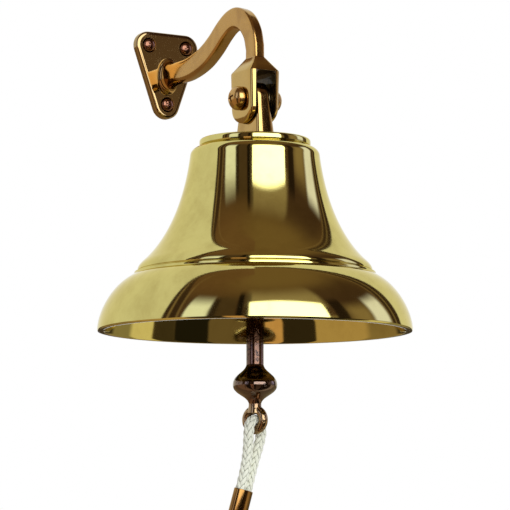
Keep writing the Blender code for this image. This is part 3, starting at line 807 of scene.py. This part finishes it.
def wall_bracket(material):
    """Wall plate, swan-neck arm and fork, one casting."""
    # The plate's rounded edge: distance out from the wall, and inset
    rounding = [(0, 0), (3.2, 0), (3.75, 0.1), (4.2, 0.32), (4.55, 0.65), (4.8, 1.1), (4.93, 1.6)]
    rounding += [(5.0, 2.3), (5.0, 2.7)]
    rings = [plate_outline(PLATE_CORNER_RADIUS - inset * MM, -out * MM) for out, inset in rounding]
    bracket = lofted("swan_neck_bracket", rings)
    combine(bracket, lofted("arm", arm_rings()), "UNION")
    for place in SCREW_PLACES.values():
        combine(bracket, screw_hole_cutter(place), "DIFFERENCE")
    combine(bracket, slot_cutter(), "DIFFERENCE")
    bore = put(cylinder("bore", BOLT_RADIUS + GAP, 2 * FORK_WIDTH, "X"), PIN)
    combine(bracket, bore, "DIFFERENCE")
    settle(bracket, "bracket", "bracket_brass", material, "wall_bracket")


def wall_screws(material):
    """Raised countersunk screws with a cross recess."""
    for node, place in SCREW_PLACES.items():
        outline = [(0, SCREW_DOME)]
        outline += arc((0, 0), (SCREW_HEAD_RADIUS, SCREW_DOME), 86, 4, 20)
        outline += [(SCREW_HEAD_RADIUS, -0.15 * MM), (SCREW_RADIUS, -SCREW_HEAD_SINK)]
        outline += [(SCREW_RADIUS, -PLATE_THICKNESS + 0.5 * MM), (0, -PLATE_THICKNESS + 0.5 * MM)]
        screw = turned(node + "_head", outline, 64)
        recess = put(cross_recess(2.2 * MM, 0.85 * MM, 1.3 * MM), (0, 0, SCREW_DOME))
        combine(screw, recess, "DIFFERENCE")
        round_edges(screw, 0.12 * MM, 2)
        spin = Matrix.Rotation(math.radians(SCREW_TURNS[node]), 4, "Z")
        screw.data.transform(Matrix.Rotation(math.pi / 2, 4, "X") @ spin)
        put(screw, (place[0], -PLATE_THICKNESS, place[1]))
        settle(screw, "bracket", "red_bronze", material, node)


def domed_outline():
    """The outside of the bolt's head and of its cap nut: a short upright rim under a dome."""
    rim = 1.2 * MM
    radius = BOLT_HEAD_RADIUS
    dome = arc((0, rim), (radius, BOLT_HEAD_HEIGHT - rim), 87, 0, 24)
    return [(0, BOLT_HEAD_HEIGHT)] + dome + [(radius, 0.3 * MM), (radius - 0.3 * MM, 0)]


def hinge_bolt(material):
    """The bolt that the bell swings on: domed head towards -X, shank through both ears."""
    length = 2 * EAR_FACE + NUT_DEPTH - 3 * GAP
    outline = domed_outline()
    outline += [(BOLT_RADIUS, 0), (BOLT_RADIUS, -length), (0, -length)]
    bolt = turned("hinge_bolt_head", outline, 96)
    recess = put(cross_recess(3.7 * MM, 1.6 * MM, 2.8 * MM), (0, 0, BOLT_HEAD_HEIGHT))
    combine(bolt, recess, "DIFFERENCE")
    round_edges(bolt, 0.3 * MM, 3)
    spin = Matrix.Rotation(math.radians(20), 4, "Z")
    bolt.data.transform(Matrix.Rotation(-math.pi / 2, 4, "Y") @ spin)
    put(bolt, PIN - Vector((EAR_FACE + GAP, 0, 0)))
    settle(bolt, "bracket", "bracket_brass", material, "hinge_bolt")


def hinge_nut(material):
    """A domed cap nut, screwed over the bolt's end. Its face matches the bolt's head."""
    bore = BOLT_RADIUS + GAP
    outline = domed_outline()
    outline += [(bore, 0), (bore, NUT_DEPTH), (0, NUT_DEPTH)]
    nut = turned("hinge_cap_nut", outline, 96, axis="X")
    put(nut, PIN + Vector((EAR_FACE + GAP, 0, 0)))
    settle(nut, "bracket", "bracket_brass", material, "hinge_nut")


def hinge_washers(material):
    thickness = 1 * MM
    offset = LUG_WIDTH / 2 + GAP + thickness / 2
    for node, side in (("hinge_washer_left", -1), ("hinge_washer_right", 1)):
        ring = washer(node + "_ring", WASHER_RADIUS, BOLT_RADIUS + GAP, thickness, "X")
        put(ring, PIN + Vector((side * offset, 0, 0)))
        settle(ring, "bracket", "dull_brass", material, node)


# -------- bell


def bell_outline():
    """(radius, height above the mouth) of the bell's wall, outer side down and inner side up."""
    crown_top = CROWN_TOP / MM
    crown = [(4.3, crown_top), (16, crown_top), (25, 123.95), (29.5, 123.7), (32.4, 123.5)]
    crown += cubic((32.4, 123.5), (34.6, 123.3), (35.55, 122.8), (35.6, 121.4), 10, first=1)
    shoulder = [(35.6, 119.3), (35.5, 118.95), (35.2, 118.75), (34.9, 118.62), (34.8, 118.45)]
    shoulder += cubic((35.2, 118.2), (37.6, 117.8), (41.0, 116.4), (41.5, 112.6), 14)
    waist = cubic((41.55, 111.9), (46.86, 72.43), (61.8, 53.2), (70.6, 45.2), 64)
    waist += cubic((70.6, 45.2), (72.03, 43.9), (74.5, 41.6), (74.7, 39.4), 20, first=1)
    groove = [(74.7, 39), (74.65, 38.7), (74.3, 38.45), (74.28, 38.25), (74.6, 38.1), (75.4, 37.9)]
    bead = [(76.35, 37.62), (76.75, 37.4), (76.85, 37.0), (76.75, 36.5), (76.8, 36.15)]
    mouth = MOUTH_RADIUS / MM
    lip = cubic((77.1, 35.8), (92.4, 28.7), (mouth, 10.0), (mouth, 1.2), 40)
    edge = [(mouth - 0.1, 0.5), (mouth - 0.4, 0.1), (mouth - 1, 0), (96.4, 0), (95.8, 0.15)]
    edge.append((95.5, 0.7))
    inner_lip = [(95.3, 1.4)] + cubic((92.7, 13.5), (90.8, 22.4), (86, 26), (75.4, 31), 30)
    inner_waist = cubic((74.0, 32.1), (58.6, 50.0), (43.6, 69), (38.1, 107), 40)
    inner_crown = cubic((38.0, 108.5), (36.9, 116.0), (31, 118.7), (22, 119), 12)
    inner_crown.append((4.3, CROWN_UNDERSIDE / MM))
    outside = crown + shoulder + waist + groove + bead + lip + edge
    return [(r * MM, h * MM) for r, h in outside + inner_lip + inner_waist + inner_crown]


def bell(material):
    shell = turned("bell", bell_outline(), 256, closed=True)
    put(shell, MOUTH)
    settle(shell, "bell", "bell_brass", material, "bell_shell")


def crown_lug(material, count=72):
    """The lug that joins the bell to the hinge, bored for the bolt and tapped for the eye bolt."""
    foot = PIN.z - (MOUTH.z + LUG_FOOT)
    rings = []
    for share in (1, 0.98, 0.75, 0.5, 0.25, 0):
        below = foot * share
        width = LUG_WIDTH + LUG_FLARE * below
        depth = 2 * LUG_HUB_RADIUS + (LUG_FOOT_DEPTH - 2 * LUG_HUB_RADIUS) * share
        rings.append(section(-UP * below, X_AXIS, Y_AXIS, width, depth, 5, count))
    for step in range(1, 16):
        angle = math.radians(86) * step / 15
        rise = UP * LUG_HUB_RADIUS * math.sin(angle)
        depth = 2 * LUG_HUB_RADIUS * math.cos(angle)
        rings.append(section(rise, X_AXIS, Y_AXIS, LUG_WIDTH, depth, 5, count))
    lug = lofted("bell_lug", rings)
    combine(lug, cylinder("bore", BOLT_RADIUS + GAP, 3 * LUG_WIDTH, "X"), "DIFFERENCE")
    for side in (-1, 1):
        spot = cylinder("spot", WASHER_RADIUS + 2 * GAP, LUG_WIDTH, "X", 72)
        combine(lug, put(spot, (side * LUG_WIDTH, 0, 0)), "DIFFERENCE")
    depth = 2 * (EYE_BOLT_TOP + 2 * GAP - LUG_FOOT)
    tapped = cylinder("tapped", EYE_BOLT_RADIUS + GAP, depth, "Z")
    combine(lug, put(tapped, -UP * foot), "DIFFERENCE")
    put(lug, PIN)
    settle(lug, "bell", "bracket_brass", material, "crown_lug")


def crown_fixings(material):
    """The eye bolt, its washer and its hexagon nut under the crown."""
    low = EYE_HEIGHT + EYE_RING_RADIUS - WIRE_RADIUS / 2
    outline = [(0, EYE_BOLT_TOP), (EYE_BOLT_RADIUS - 0.6 * MM, EYE_BOLT_TOP)]
    outline += [(EYE_BOLT_RADIUS, EYE_BOLT_TOP - 0.6 * MM), (EYE_BOLT_RADIUS, low + 2 * MM)]
    outline += [(WIRE_RADIUS, low), (0, low)]
    bolt = turned("eye_bolt", outline, 64)
    eye = wire_ring(EYE_RING_RADIUS, WIRE_RADIUS, WIRE_RADIUS, "Y")
    combine(bolt, put(eye, UP * EYE_HEIGHT), "UNION")
    put(bolt, MOUTH)
    settle(bolt, "bell", "dull_brass", material, "clapper_eye_bolt")

    bore = EYE_BOLT_RADIUS + GAP
    washer_centre = CROWN_UNDERSIDE - GAP - CROWN_WASHER_THICKNESS / 2
    ring = washer("crown_washer_ring", CROWN_WASHER_RADIUS, bore, CROWN_WASHER_THICKNESS, "Z")
    put(ring, MOUTH + UP * washer_centre)
    settle(ring, "bell", "dull_brass", material, "crown_washer")

    nut_centre = washer_centre - CROWN_WASHER_THICKNESS / 2 - GAP - CROWN_NUT_HEIGHT / 2
    corner = CROWN_NUT_ACROSS_FLATS / math.sqrt(3)
    half = CROWN_NUT_HEIGHT / 2
    nut = turned("crown_hex_nut", [(0, half), (corner, half), (corner, -half), (0, -half)], 6)
    combine(nut, cylinder("thread", bore, 3 * CROWN_NUT_HEIGHT, "Z"), "DIFFERENCE")
    round_edges(nut, 0.35 * MM, 3)
    put(nut, MOUTH + UP * nut_centre)
    settle(nut, "bell", "dull_brass", material, "crown_nut")


def clapper_link(material):
    """A chain link in the YZ plane: it hooks the eye bolt's ring and the clapper's upper eye."""
    radii = (LINK_RING_RADIUS, LINK_RING_RADIUS)
    path = arc((0, 0), radii, 0, 180, 24)
    path += arc((0, -LINK_STRAIGHT), radii, 180, 360, 24)
    size = 2 * LINK_WIRE_RADIUS
    rings = []
    for i, (y, z) in enumerate(path):
        before = path[i - 1]
        after = path[(i + 1) % len(path)]
        ahead = Vector((0, after[0] - before[0], after[1] - before[1])).normalized()
        rings.append(section(Vector((0, y, z)), X_AXIS, ahead.cross(X_AXIS), size, size, 2, 24))
    link = lofted("chain_link", rings, closed=True)
    put(link, MOUTH + UP * LINK_PIVOT)
    settle(link, "link", "dull_brass", material, "clapper_link")


def clapper_outline():
    """(radius, height above the mouth) of the clapper's turned body, top to bottom."""
    rod = ROD_RADIUS / MM
    bulb = BULB_RADIUS / MM
    middle = BULB_HEIGHT / MM
    top = (CLAPPER_PIVOT - LINK_RING_RADIUS) / MM
    outline = [(0, top), (2.6, top)]
    outline += cubic((3.2, top - 0.4), (4.6, top - 1.6), (rod, top - 3), (rod, top - 6), 10)
    outline += [(rod, h) for h in np.linspace(top - 12, middle + 14, 10)]
    # The bulb and the collar under it, as heights from the bulb's middle
    low = cubic((rod, 13), (rod + 0.6, 8), (bulb, 7), (bulb, 0), 24)
    low += cubic((bulb, 0), (bulb, -6), (4.2, -7), (4.0, -12), 24, first=1)
    low += [(4.1, -13.5), (4.4, -15), (4.8, -16.6), (4.9, -17.6), (4.3, -18), (0, -18)]
    outline += [(r, middle + h) for r, h in low]
    return [(r * MM, h * MM) for r, h in outline]


def clapper(material):
    """Rod and bulb, with an eye at the top for the link and one below for the lanyard."""
    body = turned("bell_clapper", clapper_outline(), 72)
    upper = wire_ring(LINK_RING_RADIUS, WIRE_RADIUS, WIRE_RADIUS, "Y")
    combine(body, put(upper, UP * CLAPPER_PIVOT), "UNION")
    lower = wire_ring(LOWER_EYE_RING_RADIUS, 2.8 * MM, 3.2 * MM, "X")
    combine(body, put(lower, UP * LOWER_EYE_HEIGHT, (0, 0, LOWER_EYE_TURN)), "UNION")
    put(body, MOUTH)
    settle(body, "clapper", "red_bronze", material, "clapper")


# -------- studio


def add_floor():
    """A wide pale floor far below the bell."""
    material, s = new_material("floor")
    place = s.place()
    shade = s.mix(s.noise(place, 3.0, detail=2.0), (0.78, 0.77, 0.75), (0.82, 0.81, 0.79))
    texture = s.bump(s.noise(place, 400.0, detail=2.0), 0.2 * MM, 0.2)
    close_material(s, shade, 0.7, texture)
    build = bmesh.new()
    bmesh.ops.create_circle(build, cap_ends=True, segments=96, radius=FLOOR_RADIUS)
    floor = add_mesh("floor", build)
    floor.location = MOUTH - UP * FLOOR_DROP
    floor.data.materials.append(material)
    floor.visible_glossy = False


class Studio:
    """The studio that polished metal sees: a white sweep behind, windows in front, a dim warm room.

    Directions are degrees round from the camera's side, to its right, and degrees above the
    horizon. Each table below has rows of left, right, low and high edge, softness of the edges
    round and up, strength and colour. Later rows lie over earlier ones.
    """

    # Parts of the room: a gloomy far wall, a corner, a lit curtain and a door frame
    ROOM = (
        (56, 118, 30, 58, 10.0, 9.0, 0.7, (0.075, 0.042, 0.034)),
        (-34, -15, -30, 47, 1.5, 4.0, 0.6, (0.10, 0.07, 0.05)),
        (74, 97, -30, 30, 8.0, 8.0, 0.85, (0.42, 0.32, 0.22)),
        (54, 63, -30, 12, 1.0, 4.0, 0.9, (0.31, 0.24, 0.16)),
    )
    GAPS_BESIDE_WINDOWS = (
        (-14, -9, -30, 54, 1.2, 6.0, 0.95, (0.008, 0.006, 0.006)),
        (-9, -3, -30, 54, 1.2, 6.0, 0.6, (0.05, 0.035, 0.03)),
        (-34, -29, -30, 44, 1.5, 4.0, 0.7, (0.02, 0.012, 0.01)),
        (62, 73, -30, 40, 1.2, 5.0, 0.9, (0.02, 0.012, 0.012)),
    )
    SMALL_WINDOWS = (
        (-54, -35, -4, 40, 1.5, 11.0, 1.0, (1.25, 1.4, 2.0)),
        (98, 117, 2, 34, 3.0, 5.0, 1.0, (1.2, 1.3, 2.2)),
    )
    GROUND = (
        (-51, -23, -80, 20, 1.2, 3.0, 0.9, (0.025, 0.018, 0.014)),
        (-23, -8, -80, 20, 1.2, 3.0, 0.9, (0.92, 0.53, 0.32)),
        (-8, 8, -80, 20, 1.2, 3.0, 0.9, (0.03, 0.02, 0.014)),
        (39, 69, -80, 20, 1.2, 3.0, 0.98, (0.015, 0.013, 0.01)),
        (69, 90, -80, 20, 1.2, 3.0, 0.9, (0.06, 0.045, 0.03)),
    )

    def __init__(self, shader):
        self.s = s = shader
        x, y, z = s.axes(s.node("ShaderNodeTexCoord").outputs["Generated"])
        right = Vector((math.cos(CAMERA_BEARING), math.sin(CAMERA_BEARING), 0))
        to_right = s.plus(s.times(x, right.x), s.times(y, right.y))
        nearer = s.plus(s.times(x, TOWARDS_CAMERA.x), s.times(y, TOWARDS_CAMERA.y))
        self.bearing = s.times(s.math("ARCTAN2", to_right, nearer), 180 / math.pi)
        self.height = s.times(s.math("ARCSINE", z), 180 / math.pi)

    def patch(self, left, right, low, high, soft, soft_up):
        """1 inside a rectangle of directions and 0 outside."""
        across = self.s.within(self.bearing, left, right, soft)
        return self.s.times(across, self.s.within(self.height, low, high, soft_up))

    def paint(self, colour, rows):
        for *edges, share, tone in rows:
            colour = self.s.mix(self.s.times(self.patch(*edges), share), colour, tone)
        return colour

    def room(self):
        """Red-brown low down and olive overhead, lit over the big window, black beside each one."""
        s = self.s
        low_down, overhead = (0.11, 0.062, 0.045), (0.235, 0.155, 0.085)
        colour = s.mix(s.ramp(self.height, 35.0, 75.0), low_down, overhead)
        reddish = s.times(s.fall(self.bearing, -60.0, 10.0), s.ramp(self.height, 40.0, 62.0))
        colour = s.mix(s.times(reddish, 0.45), colour, (0.17, 0.075, 0.055))
        colour = self.paint(colour, self.ROOM)
        glow = s.times(self.patch(-6, 58, 30, 90, 4.0, 2.0), s.fall(self.height, 44.0, 64.0))
        colour = s.mix(s.times(glow, 0.9), colour, (0.46, 0.38, 0.30))
        return self.paint(colour, self.GAPS_BESIDE_WINDOWS)

    def windows(self, colour):
        """The big window, whose head curves as a near one's does, and the small ones beside it."""
        s = self.s
        from_middle = s.math("DIVIDE", s.minus(self.bearing, 18.0), 40.0)
        head = s.plus(self.height, s.times(s.math("POWER", from_middle, 2.0), 7.0))
        big = s.times(self.patch(-4.5, 55.0, -4, 90, 1.0, 2.0), s.fall(head, 39.0, 44.5))
        return self.paint(s.mix(big, colour, (4.2, 4.5, 5.0)), self.SMALL_WINDOWS)

    def leaning(self, pole):
        """How far an edge has leant back at this height: it closes behind, under the pole."""
        s = self.s
        up = s.math("MINIMUM", s.math("MAXIMUM", self.height, 0.0), pole - 0.8)
        curve = s.math("POWER", s.math("DIVIDE", up, 60.0), 2.5)
        return s.math("DIVIDE", s.times(curve, 440.0), s.minus(pole, up))

    def sweep(self, colour):
        """The white sweep, whose near edges lean back as they rise, with lines along them."""
        s = self.s
        outer = self.leaning(80.0)
        inner = self.leaning(89.0)
        left = s.plus(self.bearing, outer)
        right = s.minus(self.bearing, outer)
        inner_left = s.plus(self.bearing, inner)
        inner_right = s.minus(self.bearing, inner)
        for edge, first, last, share, tone in (
            (left, -70.5, -58.5, 0.8, (0.045, 0.026, 0.022)),
            (left, -66.8, -64.8, 0.75, (0.36, 0.26, 0.18)),
            (inner_left, -59.5, -57.5, 0.6, (0.34, 0.24, 0.17)),
            (right, 118.5, 132.0, 0.8, (0.05, 0.03, 0.025)),
            (right, 123.5, 125.5, 0.7, (0.36, 0.27, 0.18)),
            (inner_right, 117.5, 119.5, 0.6, (0.34, 0.24, 0.17)),
        ):
            line = s.within(edge, first, last, 0.7)
            colour = s.mix(s.times(line, share), colour, tone)
        on_left = s.times(s.fall(left, -71.5, -69.8), s.fall(self.bearing, -0.5, 0.5))
        on_right = s.times(s.ramp(right, 131.0, 133.0), s.ramp(self.bearing, -0.5, 0.5))
        return s.mix(s.math("MAXIMUM", on_left, on_right), colour, (1.0, 1.04, 1.14))

    def ground(self, colour):
        """Below the horizon the sweep goes on over the ground, and the rest is dim."""
        s = self.s
        below = s.mix(s.ramp(self.height, -75.0, -25.0), (0.26, 0.19, 0.13), (0.20, 0.14, 0.09))
        below = self.paint(below, self.GROUND)
        for share, tone in (
            (s.fall(self.bearing, -52.5, -50.5), (0.64, 0.45, 0.27)),
            (s.fall(self.bearing, -108.0, -98.0), (0.36, 0.26, 0.16)),
            (s.ramp(self.bearing, 90.0, 92.0), (1.0, 0.92, 0.70)),
            (s.ramp(self.bearing, 112.0, 120.0), (0.36, 0.32, 0.23)),
        ):
            below = s.mix(share, below, tone)
        far_right = s.ramp(self.bearing, 140.0, 150.0)
        behind = s.math("MAXIMUM", far_right, s.fall(self.bearing, -150.0, -140.0))
        level = s.times(s.ramp(self.height, -9.0, -6.5), behind)
        below = s.mix(s.times(level, 0.93), below, (0.04, 0.03, 0.02))
        return s.mix(s.fall(self.height, -3.0, -1.0), colour, below)


def add_world():
    """Lights the object with the studio, and shows plain white where the camera looks past it."""
    world = bpy.data.worlds.new("studio")
    bpy.context.scene.world = world
    world.use_nodes = True
    s = Shader(world.node_tree)
    studio = Studio(s)
    colour = studio.ground(studio.sweep(studio.windows(studio.room())))
    seen = s.node("ShaderNodeLightPath").outputs["Is Camera Ray"]
    colour = s.mix(seen, colour, (1.0, 1.0, 1.0))
    background = s.node("ShaderNodeBackground", {"Color": colour, "Strength": 1.0})
    s.node("ShaderNodeOutputWorld", {"Surface": background.outputs[0]})


# -------- the scene

bpy.context.scene.view_settings.view_transform = "Standard"
bpy.context.scene.view_settings.look = "None"
add_camera()

BELL_BRASS = polished_brass("bell_brass", (0.57, 0.485, 0.155), (0.47, 0.385, 0.115))
BRACKET_BRASS = cast_metal(
    "bracket_brass", (0.42, 0.225, 0.055), (0.30, 0.145, 0.035), gloss=0.09, grain=0.06,
    tone=bracket_tone, raw_gap_shade_mask=fork_gap_raw_and_shade,
)
LUG_BRASS = cast_metal(
    "lug_brass", (0.45, 0.28, 0.085), (0.32, 0.18, 0.05), gloss=0.09, grain=0.15, lacquer=0.15
)
BOLT_BRASS = cast_metal(
    "bolt_brass", (0.47, 0.27, 0.08), (0.30, 0.16, 0.045), gloss=0.22, grain=0.4
)
RED_BRONZE = cast_metal(
    "red_bronze", (0.19, 0.078, 0.04), (0.08, 0.03, 0.018), gloss=0.14, grain=0.5
)
CLAPPER_BRONZE = cast_metal(
    "clapper_bronze", (0.13, 0.062, 0.033), (0.045, 0.02, 0.012), gloss=0.13, grain=0.8,
    pits=0.5, lacquer=0.4, tone=clapper_tone,
)
DULL_BRASS = cast_metal(
    "dull_brass", (0.40, 0.29, 0.14), (0.18, 0.12, 0.06), gloss=0.34, grain=0.8, pits=0.3
)
SLEEVE_BRASS = drawn_metal(
    "sleeve_brass", (0.29, 0.145, 0.035), (0.16, 0.07, 0.02), axis=(0.5, 0.866, 0.0), angle=-0.25
)
WHITE_CORD = cord_fibre("white_cord")

cord, cord_path, cord_length = braided_cord(WHITE_CORD)
sleeve, sleeve_mouth = lanyard_sleeve(SLEEVE_BRASS)

wall_bracket(BRACKET_BRASS)
wall_screws(RED_BRONZE)
hinge_bolt(BOLT_BRASS)
hinge_nut(BOLT_BRASS)
hinge_washers(DULL_BRASS)
bell(BELL_BRASS)
crown_lug(LUG_BRASS)
crown_fixings(DULL_BRASS)
clapper_link(DULL_BRASS)
clapper(CLAPPER_BRONZE)

add_floor()
add_world()
